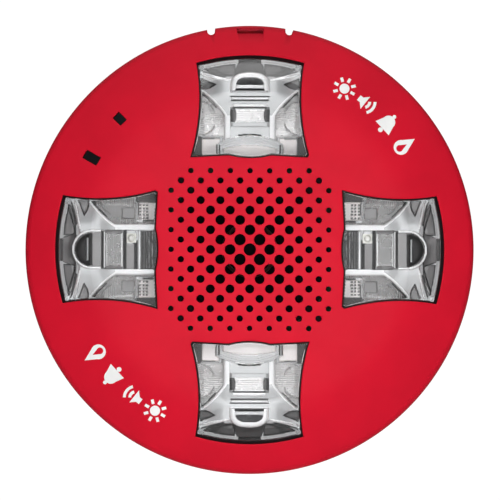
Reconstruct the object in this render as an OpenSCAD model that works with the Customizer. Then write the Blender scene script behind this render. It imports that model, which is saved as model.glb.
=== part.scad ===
/* [Cover] */
// Diameter of the round cover at its back edge
cover_d = 172.7; // [172:0.1:176]
// Height of the flat centre of the front above the wall
cover_h = 46; // [46:0.5:48]
// Thickness of the cover's wall
cover_wall = 2.4; // [2:0.1:2.6]
// Radius of the flat centre of the front
flat_r = 58; // [56:0.5:60]
// Angle at which the rest of the front falls away, in degrees
front_slope = 15; // [12:0.5:15]
// Radius of the bend between the flat and the sloping front
bend_r = 32; // [26:1:36]
// Radius of the cover's outer edge
edge_r = 3; // [2.8:0.1:3.6]
// Draft of the cover's side, in degrees
skirt_draft = 0.6; // [0.4:0.1:0.8]
// Gap between the cover's back edge and the wall
skirt_gap = 2; // [1.6:0.1:2.4]

/* [Windows and lenses] */
// Distance from the centre to a window's outer, round edge
window_outer_r = 74.5; // [74:0.1:74.8]
// Half the width of a window at its outer corners
window_outer_half = 20.7; // [20.4:0.1:21]
// Distance from the centre to a window's waist
window_waist_x = 58; // [56:0.5:60]
// Half the width of a window at its waist
window_waist_half = 19.5; // [19.2:0.1:19.8]
// Distance from the centre to a window's inner corners
window_inner_x = 35.2; // [35:0.1:35.6]
// Half the width of a window at its inner corners
window_inner_half = 22.9; // [22.5:0.1:23]
// Half the width of the bulge in a window's inner edge
bulge_half = 8.5; // [8:0.1:9]
// Depth of the bulge in a window's inner edge
bulge_depth = 1.1; // [1:0.1:1.3]
// Gap at a lens's inner edge
lens_inner_gap = 0.5; // [0.4:0.1:0.7]
// Gap at a lens's two sides
lens_side_gap = 0.9; // [0.7:0.1:1.1]
// Gap at a lens's outer edge
lens_outer_gap = 1.3; // [1:0.1:1.6]
// Thickness of a lens
lens_wall = 1.8; // [1.6:0.1:2]

/* [Sound grille] */
// Distance between the rows of holes
grille_pitch = 3.77; // [3.65:0.01:3.8]
// Number of rows on each side of the middle row
grille_rows = 8; // [6:1:8]
// Diameter of the middle hole
grille_hole_max = 4.7; // [4.3:0.1:4.7]
// Diameter of the holes in the outermost rows
grille_hole_min = 2.1; // [1.9:0.1:2.3]

/* [Mounting plate] */
// Radius of the mounting plate
plate_r = 74; // [73:0.5:74.5]
// Thickness of the mounting plate
plate_t = 2.2; // [2:0.1:2.4]
// Screw spacing of a single or double gang box, along its height
gang_height = 83.3; // [83.3]
// Screw spacing of a double gang box, across its width
gang_width = 46; // [46]
// Screw spacing of a 4 inch octagon or square box
box_spacing = 88.9; // [88.9]
// Radius of the holes for gang box screws
gang_hole_r = 2.1; // [2:0.1:2.3]
// Radius of the holes for octagon and square box screws
box_hole_r = 2.4; // [2.3:0.1:2.6]
// End-to-end length of a slotted hole
slot_length = 9; // [8:0.5:9]

/* [Moving parts] */
// Distance of the hinge below the centre
hinge_drop = 75.5; // [75:0.1:76]
// Height of the hinge above the wall
hinge_z = 7.5; // [7.4:0.1:7.8]
// Radius of the hinge pins
hinge_pin_r = 1.5; // [1.4:0.05:1.6]
// Radial clearance of the running fits
fit = 0.05; // [0.03:0.01:0.08]
// Travel of the release latch
latch_travel = 2; // [1.6:0.1:2]
// Travel of the candela slider towards its first setting
candela_back = 3; // [3]
// Travel of the candela slider towards its last setting
candela_ahead = 6; // [6]
// Travel of the volume slider to each side
volume_travel = 1.5; // [1.2:0.1:1.5]

/* [Hidden] */
$fn = 96;

cover_r = cover_d / 2;
small = 0.01;

// Heights above the wall of the layers inside, from the wall to the front
floor_z = 12;
floor_t = 1.8;
floor_top = floor_z + floor_t;
board_z = 17;
board_t = 1.6;
board_top = board_z + board_t;
board_r = 66;
tray_z = 26.5;
tray_t = 1.3;
tray_top = tray_z + tray_t;
front_inside = cover_h - cover_wall;

// Places on the front, as distance from the centre and angle
candela_at = [70, 150];
candela_port = [6.2, 3.6];
status_at = [70.6, 135];
status_port = [4.3, 3.4];
symbol_ring_r = 71.5;
symbol_angles = [34.2, 42.7, 51.2, 59.7];
symbol_size = 9.2;

// Release slot and the two notches beside it, at the top of the rim
slot_w = 10;
slot_y = 82.85;
slot_depth = 2;
notch_x = 15;
notch_w = 3;
notch_y = 82.3;
channel_half = 5.2;
channel_y = 85.3;
channel_top = 37;

boss_ring_r = 75;
boss_angles = [57, 123, 237, 303];
boss_r = 3.6;
boss_hole_r = 1.15;
housing_r = cover_r - 3.2;
post_ring_r = 60;
post_angles = [20, 110, 200, 290];

terminal_x = [-12.75, -4.25, 4.25, 12.75];
block_half = 18;
block_y = 12;
socket_y = 29;

driver_r = 32.8;
driver_lug_r = 37;
driver_screw_r = 1.2;

tone_at = [-38, -30];
tone_knob_r = 3;
volume_at = [-38, -46];
hinge_x = 16;
hook_half = 3;

// Along each window, LEDs sit off its middle line only in the right and left windows
led_offset = [5, 0, -5, 0];

// Outward normals of the sloping front and of the side, and the centre of the edge's arc
slope_n = [sin(front_slope), cos(front_slope)];
skirt_n = [cos(skirt_draft), sin(skirt_draft)];
bend_end = [flat_r + bend_r * slope_n[0], cover_h - bend_r * (1 - slope_n[1])];
slope_q = slope_n * bend_end - edge_r;
skirt_q = skirt_n * [cover_r, skirt_gap] - edge_r;
edge_det = slope_n[0] * skirt_n[1] - slope_n[1] * skirt_n[0];
edge_c = [
    (slope_q * skirt_n[1] - skirt_q * slope_n[1]) / edge_det,
    (slope_n[0] * skirt_q - skirt_n[0] * slope_q) / edge_det
];

// Radius of the side at height z, inset by t from the outer surface
function skirt_radius(z, t) = (skirt_q + edge_r - t - skirt_n[1] * z) / skirt_n[0];

// Points of the cover's edge, inset by t
function edge_points(t) =
    t < edge_r
    ? [edge_c + (edge_r - t) * slope_n, edge_c, edge_c + (edge_r - t) * skirt_n]
    : [edge_c + (edge_r - t) * (slope_n + skirt_n) / (1 + slope_n * skirt_n)];

// Half section of the cover's outer shape, inset by t, from height low up
function section_points(t, low) = concat(
    [[0, low], [0, cover_h - t]],
    [for (k = [0:4]) let (a = front_slope * k / 4)
        [flat_r + (bend_r - t) * sin(a), cover_h - bend_r + (bend_r - t) * cos(a)]],
    edge_points(t),
    [[skirt_radius(low, t), low]]
);

// Centre of the circle through three points
function circle_centre(a, b, c) =
    let (
        d = 2 * (a[0] * (b[1] - c[1]) + b[0] * (c[1] - a[1]) + c[0] * (a[1] - b[1])),
        a2 = a * a,
        b2 = b * b,
        c2 = c * c
    )
    [
        (a2 * (b[1] - c[1]) + b2 * (c[1] - a[1]) + c2 * (a[1] - b[1])) / d,
        (a2 * (c[0] - b[0]) + b2 * (a[0] - c[0]) + c2 * (b[0] - a[0])) / d
    ];

window_outer_x = sqrt(pow(window_outer_r, 2) - pow(window_outer_half, 2));
side_c = circle_centre(
    [window_outer_x, window_outer_half],
    [window_waist_x, window_waist_half],
    [window_inner_x, window_inner_half]
);
side_r = norm(side_c - [window_waist_x, window_waist_half]);
bulge_r = (pow(bulge_half, 2) + pow(bulge_depth, 2)) / (2 * bulge_depth);
inner_middle_x = window_inner_x + 1.2;
bulge_x = inner_middle_x - 0.3 - bulge_depth;
all_edges = [1, 1, 1];
lens_gaps = [lens_inner_gap, lens_side_gap, lens_outer_gap];

// Stands a piece drawn with its front upwards on the wall, with its front towards -Y
module on_wall() {
    rotate([90, 0, 0]) children();
}

// Turns a piece drawn for the right-hand window to window number i, counted anticlockwise
module at_window(i) {
    rotate(90 * i) children();
}

module at_polar(place) {
    rotate(place[1]) translate([place[0], 0, 0]) children();
}

// The cover's outer shape as a solid, inset by t, from height low up
module cover_solid(t, low) {
    rotate_extrude() {
        polygon(section_points(t, low));
        if (t < edge_r) translate(edge_c) circle(edge_r - t);
    }
}

// The layer of the cover's front between depths a and b below its outer surface
module front_layer(a, b) {
    difference() {
        cover_solid(a, 30);
        cover_solid(b, 29);
    }
}

// Outline of the right-hand window, inset by g[0] at its inner edge, g[1] at its sides and g[2] outside
module window_outline(g) {
    intersection() {
        circle(window_outer_r - g[2], $fn = 180);
        difference() {
            union() {
                polygon([
                    [inner_middle_x + g[0], 0],
                    [window_inner_x + g[0], -window_inner_half - 2],
                    [window_outer_r + 2, -window_inner_half - 2],
                    [window_outer_r + 2, window_inner_half + 2],
                    [window_inner_x + g[0], window_inner_half + 2]
                ]);
                intersection() {
                    translate([bulge_x + g[0] + bulge_r, 0]) circle(bulge_r);
                    translate([bulge_x - 3, -bulge_half]) square([12, 2 * bulge_half]);
                }
            }
            for (s = [-1, 1])
                translate([side_c[0], s * side_c[1]]) circle(side_r + g[1], $fn = 180);
        }
    }
}

module slotted_hole(length, r) {
    for (s = [-1, 1]) translate([s * (length / 2 - r), 0, -1]) cylinder(r = r, h = plate_t + 2);
    translate([-length / 2 + r, -r, -1]) cube([length - 2 * r, 2 * r, plate_t + 2]);
}

module block(x, y, z, height) {
    translate([x[0], y[0], z]) cube([x[1] - x[0], y[1] - y[0], height]);
}

// A pan-head screw with its head's underside at z = 0 and its shank running up
module screw(shank_r, shank_h, head_r, head_h) {
    difference() {
        union() {
            cylinder(r = shank_r, h = shank_h);
            translate([0, 0, -head_h]) cylinder(r = head_r, h = head_h + small);
        }
        for (a = [0, 90]) rotate(a)
            translate([-head_r * 0.6, -0.3, -head_h - 1]) cube([head_r * 1.2, 0.6, 1 + head_h / 2]);
    }
}

// The plate screwed to the wall box, with its hinge hooks below and its latch catch above
module mounting_plate() {
    rim_h = 7;
    catch_y = [81.7, 83.2];
    color("dimgray") on_wall() difference() {
        union() {
            cylinder(r = plate_r, h = plate_t);
            difference() {
                cylinder(r = plate_r, h = rim_h);
                translate([0, 0, -1]) cylinder(r = plate_r - 1.8, h = rim_h + 2);
            }
            block([-4.6, 4.6], [70, catch_y[1]], 0, plate_t);
            block([-4.6, 4.6], [82.3, catch_y[1]], 0, 8.4);
            block([-4.6, 4.6], catch_y, 6.7, 1.7);
            for (s = [-1, 1]) translate([s * hinge_x, -hinge_drop, 0]) {
                block([-hook_half, hook_half], [-3.1, 8], 0, plate_t);
                block([-hook_half, hook_half], [-3.1, 3.1], 0, hinge_z);
                translate([-hook_half, 0, hinge_z]) rotate([0, 90, 0])
                    cylinder(r = 3.1, h = 2 * hook_half);
            }
        }
        block([-26, 26], [-24, 8], -1, plate_t + 2);
        for (s = [-1, 1]) {
            translate([0, s * gang_height / 2, 0]) rotate(90) slotted_hole(slot_length, gang_hole_r);
            translate([s * box_spacing / 2, 0, 0]) slotted_hole(slot_length, box_hole_r);
            for (t = [-1, 1]) {
                translate([s * gang_width / 2, t * gang_height / 2, -1])
                    cylinder(r = gang_hole_r, h = plate_t + 2);
                translate([s * box_spacing / 2, t * box_spacing / 2, -1])
                    cylinder(r = box_hole_r, h = plate_t + 2);
            }
            translate([s * hinge_x, -hinge_drop, 0]) {
                translate([-hook_half - 1, 0, hinge_z]) rotate([0, 90, 0])
                    cylinder(r = hinge_pin_r + fit, h = 2 * hook_half + 2);
                block([-hook_half - 1, hook_half + 1], [-1.2, 1.2], hinge_z, 5);
            }
            for (t = [-1, 1]) translate([s * hinge_x + t * (hook_half + 1.6), -hinge_drop, 0])
                block([-1.6, 1.6], [-1, 5], plate_t, 8);
        }
        block([-channel_half, channel_half], [60, 75], plate_t, 8);
    }
}

module terminal_block() {
    color("black") on_wall() difference() {
        union() {
            block([-block_half, block_half], [block_y, 24], plate_t, 5.4);
            block([-block_half, block_half], [24, 34], plate_t, 5.2);
            for (x = [-17, -8.5, 0, 8.5, 17]) block([x - 0.8, x + 0.8], [block_y, 24], plate_t, 8.5);
        }
        for (x = terminal_x) {
            translate([x, 18, 3.4]) cylinder(r = 1.6, h = 10);
            block([x - 3.5, x + 3.5], [socket_y - 1.6, socket_y + 1.6], 3.2, 5);
        }
    }
}

module terminal_screws() {
    color("silver") on_wall() for (x = terminal_x)
        translate([x, 18, 8.5]) rotate([180, 0, 0]) screw(1.4, 4.6, 2.9, 2);
}

module terminal_clamps() {
    color("silver") on_wall() for (x = terminal_x) difference() {
        block([x - 3.1, x + 3.1], [14.6, 21.4], 7.65, 0.8);
        translate([x, 18, 7]) cylinder(r = 1.6, h = 2);
    }
}

module plate_contacts() {
    color("gold") on_wall() for (x = terminal_x)
        block([x - 2.5, x + 2.5], [socket_y + 0.7, socket_y + 1.3], 3.25, 4);
}

// The leaf that keeps the line joined while the head is off
module shorting_spring() {
    color("gold") on_wall() {
        block([22, 26], [18, 32], plate_t, 0.4);
        block([22, 26], [18, 18.4], plate_t, 7.4);
        block([22, 26], [18, 29], plate_t + 7, 0.4);
    }
}

module grille_holes() {
    shrink = (grille_hole_max - grille_hole_min) / grille_rows;
    for (i = [-grille_rows:grille_rows], j = [-grille_rows:grille_rows])
        if ((i + j) % 2 == 0 && abs(i) + abs(j) < 2 * grille_rows)
            translate([i, j] * grille_pitch)
                circle(d = grille_hole_max - shrink * max(abs(i), abs(j)), $fn = 32);
}

module front_cover() {
    color("crimson") on_wall() difference() {
        union() {
            difference() {
                cover_solid(0, skirt_gap);
                cover_solid(cover_wall, skirt_gap - 1);
            }
            intersection() {
                cover_solid(1.5, skirt_gap);
                union() {
                    for (a = boss_angles) at_polar([boss_ring_r, a])
                        translate([0, 0, floor_top]) cylinder(r = boss_r, h = cover_h);
                    for (a = [45:90:315]) at_polar([driver_lug_r, a])
                        translate([0, 0, 42.4]) cylinder(r = 3, h = 5);
                    block([-19, 19], [80.6, 90], skirt_gap, cover_h);
                }
            }
        }
        for (i = [0:3]) at_window(i)
            translate([0, 0, 30]) linear_extrude(20) window_outline([0, 0, 0]);
        translate([0, 0, 40]) linear_extrude(10) grille_holes();
        at_polar(candela_at) translate([0, 0, 38])
            linear_extrude(10) square(candela_port, center = true);
        at_polar(status_at) translate([0, 0, 38])
            linear_extrude(10) square(status_port, center = true);
        block([-slot_w / 2, slot_w / 2], [slot_y, slot_y + slot_depth], 20, 30);
        block([-channel_half, channel_half], [70, channel_y], -1, channel_top + 1);
        for (s = [-1, 1]) translate([s * notch_x, notch_y + notch_w / 2, -1]) {
            cylinder(d = notch_w, h = cover_h + 2);
            block([-notch_w / 2, notch_w / 2], [0, 5], 0, cover_h + 2);
        }
        for (a = boss_angles) at_polar([boss_ring_r, a])
            translate([0, 0, floor_z]) cylinder(r = boss_hole_r, h = 14);
        for (a = [45:90:315]) at_polar([driver_lug_r, a])
            translate([0, 0, 42]) cylinder(r = driver_screw_r + 0.05, h = 2.4);
        block([-30, 30], [-90, -70], -1, 7.5);
    }
}

// A flame, a bell, sound waves and a flash, each drawn upright about its own middle
module symbol(kind) {
    s = symbol_size / 2;
    if (kind == 0) difference() {
        union() {
            translate([0, -0.35 * s]) circle(0.62 * s);
            polygon([[-0.6 * s, -0.2 * s], [0.05 * s, s], [0.6 * s, -0.2 * s]]);
        }
        translate([0, -0.5 * s]) circle(0.28 * s);
        polygon([[-0.26 * s, -0.42 * s], [0.06 * s, 0.2 * s], [0.26 * s, -0.42 * s]]);
    }
    if (kind == 1) {
        translate([0, 0.15 * s]) circle(0.55 * s);
        polygon([[-0.55 * s, 0.15 * s], [0.55 * s, 0.15 * s], [0.8 * s, -0.6 * s], [-0.8 * s, -0.6 * s]]);
        translate([0, -0.8 * s]) circle(0.2 * s);
        translate([0, 0.8 * s]) circle(0.16 * s);
    }
    if (kind == 2) {
        polygon([
            [-0.9 * s, -0.25 * s], [-0.6 * s, -0.25 * s], [-0.2 * s, -0.65 * s],
            [-0.2 * s, 0.65 * s], [-0.6 * s, 0.25 * s], [-0.9 * s, 0.25 * s]
        ]);
        for (r = [0.6, 1.05]) intersection() {
            translate([-0.35 * s, 0]) difference() {
                circle(r * s);
                circle((r - 0.24) * s);
            }
            polygon([[-0.35 * s, 0], [1.2 * s, 1.2 * s], [1.2 * s, -1.2 * s]]);
        }
    }
    if (kind == 3) {
        circle(0.42 * s);
        for (a = [0:45:315]) rotate(a) translate([0.58 * s, -0.12 * s]) square([0.38 * s, 0.24 * s]);
    }
}

module front_symbols() {
    color("white") on_wall() intersection() {
        front_layer(-0.15, -0.02);
        translate([0, 0, 30]) linear_extrude(20)
            for (turn = [0, 180], k = [0:3])
                at_polar([symbol_ring_r, symbol_angles[k] + turn]) rotate(-90) symbol(k);
    }
}

module hinge_ear(x) {
    block([x, x + 2], [-hinge_drop - 3, -hinge_drop + 3], hinge_z - 3, floor_z - hinge_z + 3 + small);
}

module rear_housing() {
    wall_h = 10;
    guide_mid = (candela_ahead - candela_back) / 2;
    color("crimson") on_wall() difference() {
        union() {
            translate([0, 0, floor_z]) difference() {
                cylinder(r = housing_r, h = wall_h);
                translate([0, 0, floor_t]) cylinder(r = housing_r - 1.8, h = wall_h);
            }
            for (a = post_angles) at_polar([post_ring_r, a])
                translate([0, 0, floor_top - small]) cylinder(r = 3, h = board_z - floor_top + small);
            for (s = [-1, 1], t = [-1, 1])
                hinge_ear(s * hinge_x + t * (hook_half + 1.4) - 1);
            block([-4.5, 4.5], [70.5, 72], floor_top - small, 8.2);
            translate([24, 27, 10]) cylinder(r = 1.2, h = floor_z - 10 + small);
        }
        block([-20, 20], [75, 90], floor_z - 1, wall_h + 2);
        for (a = boss_angles) at_polar([boss_ring_r, a])
            translate([0, 0, floor_z - 1]) cylinder(r = 1.4, h = floor_t + 2);
        for (a = boss_angles) at_polar([boss_ring_r, a])
            translate([0, 0, floor_top]) cylinder(r = boss_r + 0.1, h = wall_h);
        for (a = post_angles) at_polar([post_ring_r, a])
            translate([0, 0, floor_top]) cylinder(r = 0.95, h = 5);
        block([-block_half - 0.1, block_half + 0.1], [25.4, 32.6], floor_z - 1, floor_t + 2);
        translate([tone_at[0], tone_at[1], floor_z - 1]) cylinder(r = 5.1, h = floor_t + 2);
        translate([volume_at[0], volume_at[1], 0]) block([-5.1, 5.1], [-3.1, 3.1], floor_z - 1, floor_t + 2);
        at_polar(candela_at) translate([0, guide_mid, 0])
            block([-1.5, 1.5], [-6.8, 6.8], floor_z - 1, floor_t + 2);
        for (s = [-1, 1]) translate([s * hinge_x - 6, -hinge_drop, hinge_z]) rotate([0, 90, 0])
            cylinder(r = hinge_pin_r + 0.02, h = 12);
    }
}

module cover_screws() {
    color("silver") on_wall() for (a = boss_angles) at_polar([boss_ring_r, a])
        translate([0, 0, floor_z - 0.05]) screw(1.1, 12, 2.6, 1.7);
}

module hinge_pins() {
    color("silver") on_wall() for (s = [-1, 1])
        translate([s * hinge_x - 5.4, -hinge_drop, hinge_z]) rotate([0, 90, 0])
            cylinder(r = hinge_pin_r, h = 10.8);
}

// A clear cover with a flange behind the window's rim
module lens(i) {
    color("aliceblue", 0.5) on_wall() at_window(i) {
        intersection() {
            front_layer(0.2, cover_wall + 1.3);
            linear_extrude(cover_h) difference() {
                window_outline(lens_gaps);
                window_outline(lens_gaps + 1.4 * all_edges);
            }
        }
        intersection() {
            front_layer(0.2, 0.2 + lens_wall);
            linear_extrude(cover_h) window_outline(lens_gaps + 1.3 * all_edges);
        }
        intersection() {
            front_layer(cover_wall + 0.1, cover_wall + 1.3);
            linear_extrude(cover_h) difference() {
                window_outline(-1.4 * all_edges);
                window_outline(lens_gaps + 0.1 * all_edges);
            }
        }
    }
}

// The bright tray behind a lens: two rails and two wings that end in an arched hood
module reflector(i) {
    rail = [7.5, 9.9];
    hood_x = 60.6;
    hood_z = 38.5;
    color("gainsboro") on_wall() at_window(i) {
        difference() {
            union() {
                translate([0, 0, tray_z]) linear_extrude(tray_t) window_outline([1.2, 1.6, 2.2]);
                translate([0, 0, tray_z]) linear_extrude(13) difference() {
                    window_outline([2.2, 2.6, 3]);
                    window_outline([3.2, 3.6, 4]);
                }
                for (s = [-1, 1]) mirror([0, s < 0 ? 1 : 0, 0]) {
                    block([39, 52], rail, tray_z, 9.5);
                    translate([0, 0, tray_z]) linear_extrude(10.5) intersection() {
                        polygon([[51.5, 7.4], [51.5, 9.9], [59, 16], [61, 24], [66.5, 24], [66.5, 7], [61, 7]]);
                        window_outline([2.6, 3, 3.4]);
                    }
                }
                translate([hood_x, 0, tray_z]) cylinder(r = 7.4, h = hood_z - tray_z);
                block([51.4, hood_x], [-7.5, 7.5], tray_z, 9.5);
                block([48.6, 51.5], [-7.5, 7.5], tray_z, 7);
            }
            translate([hood_x, 0, 0]) block([-0.2, 0], [-5.6, 5.6], 33, 10);
            translate([hood_x, 0, 32]) cylinder(r = 5.6, h = 10);
            block([53.2, 54.4], [-6.6, 6.6], 33, 8);
            block([56.6, 57.4], [-7, 7], 33, 8);
            translate([hood_x - 3.2, 0, 0]) block([-2.6, 0.2], [-5, 5], 35, 8);
        }
    }
}

module led_board(i) {
    color("seagreen") on_wall() at_window(i)
        block([39.4, 48.2], [-7.2, 7.2], tray_top + 0.05, 1.2);
}

module led(i) {
    package = 3.6;
    color("ivory") on_wall() at_window(i) translate([45.4, led_offset[i] * 0.9, tray_top + 1.3]) {
        block([-package / 2, package / 2], [-package / 2, package / 2], 0, 0.9);
        translate([0, 0, 0.85]) cylinder(r1 = 1.5, r2 = 0.9, h = 1.1);
    }
}

module board_connectors() {
    color("white") on_wall() for (i = [0:3]) at_window(i)
        block([41, 47], [-2, 2], board_top + 0.05, tray_z - board_top - 0.1);
}

module main_board() {
    color("darkgreen") on_wall() difference() {
        union() {
            translate([0, 0, board_z]) cylinder(r = board_r, h = board_t);
            at_polar(status_at) block([-8, 3.4], [-3.4, 3.4], board_z, board_t);
        }
        for (a = post_angles) at_polar([post_ring_r, a])
            translate([0, 0, board_z - 1]) cylinder(r = 1.25, h = board_t + 2);
    }
}

module board_screws() {
    color("silver") on_wall() for (a = post_angles) at_polar([post_ring_r, a])
        translate([0, 0, board_top + 0.05]) rotate([180, 0, 0]) screw(0.9, 4.4, 2.2, 1.5);
}

module capacitors() {
    color("black") on_wall() for (a = [45, 225], t = [-1, 1]) rotate(a) translate([50, t * 7, board_top + 0.05])
        cylinder(r = 6.2, h = 18);
}

module inductor() {
    color("saddlebrown") on_wall() at_polar([50, 315]) translate([0, 0, board_top + 0.05]) {
        cylinder(r = 8, h = 1.6);
        cylinder(r = 6.2, h = 11);
        translate([0, 0, 9.4]) cylinder(r = 8, h = 1.6);
    }
}

module power_transistors() {
    color("black") on_wall() for (t = [-1, 1]) rotate(135) translate([44, t * 7, 0])
        block([-3.3, 3.3], [-3, 3], board_top + 0.05, 2.3);
}

module control_chip() {
    color("black") on_wall() at_polar([54, 135])
        block([-3.8, 3.8], [-3.8, 3.8], board_top + 0.05, 1.4);
}

module contact_blades() {
    color("gold") on_wall() for (x = terminal_x)
        block([x - 2.5, x + 2.5], [socket_y - 0.3, socket_y + 0.3], 3.8, board_z - 3.9);
}

module blade_holder() {
    color("black") on_wall() difference() {
        block([-block_half, block_half], [25.5, 32.5], 8.2, 6);
        for (x = terminal_x)
            block([x - 2.6, x + 2.6], [socket_y - 0.4, socket_y + 0.4], 7, 8);
    }
}

module driver_gasket() {
    color("black") on_wall() translate([0, 0, front_inside - 1.1]) difference() {
        cylinder(r = driver_r, h = 1);
        translate([0, 0, -1]) cylinder(r = driver_r - 2.2, h = 3);
    }
}

// The basket that carries the diaphragm and the magnet
module driver_frame() {
    flange_z = front_inside - 2.6;
    color("dimgray") on_wall() difference() {
        union() {
            translate([0, 0, flange_z]) cylinder(r = driver_r, h = 1.4);
            for (a = [45:90:315]) at_polar([driver_lug_r, a]) {
                translate([0, 0, flange_z]) cylinder(r = 2.8, h = 1.35);
                block([-6, 0], [-2.8, 2.8], flange_z, 1.35);
            }
            translate([0, 0, 29.7]) rotate_extrude()
                polygon([[11.4, 0], [17.6, 0], [31.8, 11], [31.8, 12], [30.4, 12], [16.6, 1.4], [11.4, 1.4]]);
        }
        translate([0, 0, flange_z - 1]) cylinder(r = driver_r - 2.8, h = 5);
        translate([0, 0, 29]) cylinder(r = 11.3, h = 5);
        for (a = [0:60:300]) rotate(a + 30) translate([24, 0, 28]) cylinder(r = 3.6, h = 12);
        for (a = [45:90:315]) at_polar([driver_lug_r, a])
            translate([0, 0, flange_z - 1]) cylinder(r = driver_screw_r + 0.15, h = 4);
    }
}

module driver_screws() {
    color("silver") on_wall() for (a = [45:90:315]) at_polar([driver_lug_r, a])
        translate([0, 0, front_inside - 2.65]) screw(driver_screw_r, 3.2, 2.3, 1.4);
}

module washer(r_in, r_out, z, height) {
    translate([0, 0, z]) difference() {
        cylinder(r = r_out, h = height);
        translate([0, 0, -1]) cylinder(r = r_in, h = height + 2);
    }
}

module top_plate() {
    color("gray") on_wall() washer(11.3, 16.5, 27.65, 2);
}

module magnet() {
    color("black") on_wall() washer(13, 18, 22.65, 4.95);
}

module yoke() {
    color("gray") on_wall() {
        translate([0, 0, 20.6]) cylinder(r = 17, h = 2);
        translate([0, 0, 20.6]) cylinder(r = 9, h = 9);
    }
}

module voice_coil() {
    color("chocolate") on_wall() washer(9.6, 10.6, 25.5, 8.6);
}

// The cone and the half-round roll at its edge
module diaphragm() {
    roll_at = [25.6, 40.4];
    color("black") on_wall() rotate_extrude() {
        polygon([[10.7, 33.4], [11.4, 33.4], [24.2, 39.8], [24.2, 40.7], [10.7, 34.1]]);
        difference() {
            translate(roll_at) circle(1.8);
            translate(roll_at) circle(1.3);
            translate(roll_at - [5, 10]) square(10);
        }
    }
}

module dust_cap() {
    cap_r = 9.4;
    rise = 2.6;
    dome_r = (cap_r * cap_r + rise * rise) / (2 * rise);
    color("black") on_wall() translate([0, 0, 34.2]) intersection() {
        translate([0, 0, rise - dome_r]) difference() {
            sphere(dome_r);
            sphere(dome_r - 0.5);
        }
        cylinder(r = cap_r + 1, h = rise + 1);
    }
}

// A window for a port: a plug in the port and a flange behind it
module port_window(place, port) {
    on_wall() {
        intersection() {
            front_layer(0.8, cover_wall + 0.2);
            at_polar(place) linear_extrude(cover_h) square(port - [0.3, 0.3], center = true);
        }
        intersection() {
            front_layer(cover_wall + 0.1, cover_wall + 1.1);
            at_polar(place) linear_extrude(cover_h) square(port + [2, 2], center = true);
        }
    }
}

module candela_window() {
    color("black") port_window(candela_at, candela_port);
}

module status_window() {
    color("black") port_window(status_at, status_port);
}

module light_pipe() {
    color("aliceblue") on_wall() at_polar(status_at)
        translate([0, 0, board_top + 1.8]) cylinder(r = 1.2, h = 19);
}

module status_led() {
    color("gold") on_wall() at_polar(status_at)
        block([-1.4, 1.4], [-1, 1], board_top + 0.05, 1.5);
}

module candela_guide() {
    mid = (candela_ahead - candela_back) / 2;
    color("black") on_wall() at_polar(candela_at) difference() {
        translate([0, mid, 0]) block([-3, 3], [-9, 9], floor_top + 0.05, 4);
        translate([0, mid, 0]) block([-1.4, 1.4], [-6.7, 6.7], floor_top - 1, 8);
    }
}

// The knob at the back, the stem through the housing and the flag under the port
module candela_slider() {
    color("white") on_wall() at_polar(candela_at) {
        block([-2, 2], [-3, 3], 9.2, 2.4);
        block([-1.2, 1.2], [-2, 2], 9.2, 29);
        block([-2.4, 2.4], [-4, 4], 37, 1.2);
    }
}

module tone_switch() {
    color("royalblue") on_wall() translate([tone_at[0], tone_at[1], 0]) difference() {
        translate([0, 0, 10.6]) cylinder(r = 5, h = board_z - 10.7);
        translate([0, 0, 10]) cylinder(r = tone_knob_r + fit, h = 3.4);
    }
}

module tone_knob() {
    color("white") on_wall() translate([tone_at[0], tone_at[1], 10.4]) difference() {
        cylinder(r = tone_knob_r, h = 2.8);
        translate([-2.2, -0.4, -1]) cube([4.4, 0.8, 1.9]);
    }
}

module volume_switch() {
    color("black") on_wall() translate([volume_at[0], volume_at[1], 0]) difference() {
        block([-5, 5], [-3, 3], 10.6, board_z - 10.7);
        block([-volume_travel - 1.2, volume_travel + 1.2], [-1.1, 1.1], 9, 5);
    }
}

module volume_slider() {
    color("white") on_wall() translate([volume_at[0], volume_at[1], 0])
        block([-1, 1], [-1, 1], 9.6, 4.1);
}

// The bar behind the release slot: a paddle under the slot, and a nose beside the catch
module release_latch() {
    color("firebrick") on_wall() {
        block([-4.4, 4.4], [77.5, 79.5], 4, 29);
        difference() {
            block([-4.9, 4.9], [79.5 - small, 85], 28.5, 7.5);
            translate([0, 85.2, 28]) rotate([45, 0, 0]) cube([20, 3, 3], center = true);
        }
        block([-4.2, 4.2], [79.5 - small, 81.6], 4.2, 2);
        translate([0, 77.5 + small, 18]) rotate([90, 0, 0]) cylinder(r = 1.3, h = 1.5);
    }
}

// Points on a ring of the spring's wire, round the helix at angle a
function coil_ring(coil_r, wire_r, pitch, a, sides) = [
    for (k = [0:sides - 1]) let (b = 360 * k / sides, r = coil_r + wire_r * cos(b))
        [r * cos(a), r * sin(a), pitch * a / 360 + wire_r * sin(b)]
];

// A compression spring as one swept wire
module coil(coil_r, wire_r, pitch, turns) {
    sides = 8;
    rings = 12 * turns;
    points = [for (n = [0:rings]) each coil_ring(coil_r, wire_r, pitch, 30 * n, sides)];
    sides_faces = [for (n = [0:rings - 1], k = [0:sides - 1]) let (m = (k + 1) % sides)
        [n * sides + k, (n + 1) * sides + k, (n + 1) * sides + m, n * sides + m]];
    ends = [[for (k = [0:sides - 1]) k], [for (k = [sides - 1:-1:0]) rings * sides + k]];
    polyhedron(points, concat(sides_faces, ends), convexity = 6);
}

module latch_spring() {
    color("silver") on_wall() translate([0, 77.2, 18]) rotate([90, 0, 0]) coil(2.1, 0.25, 1.2, 4);
}

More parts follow.
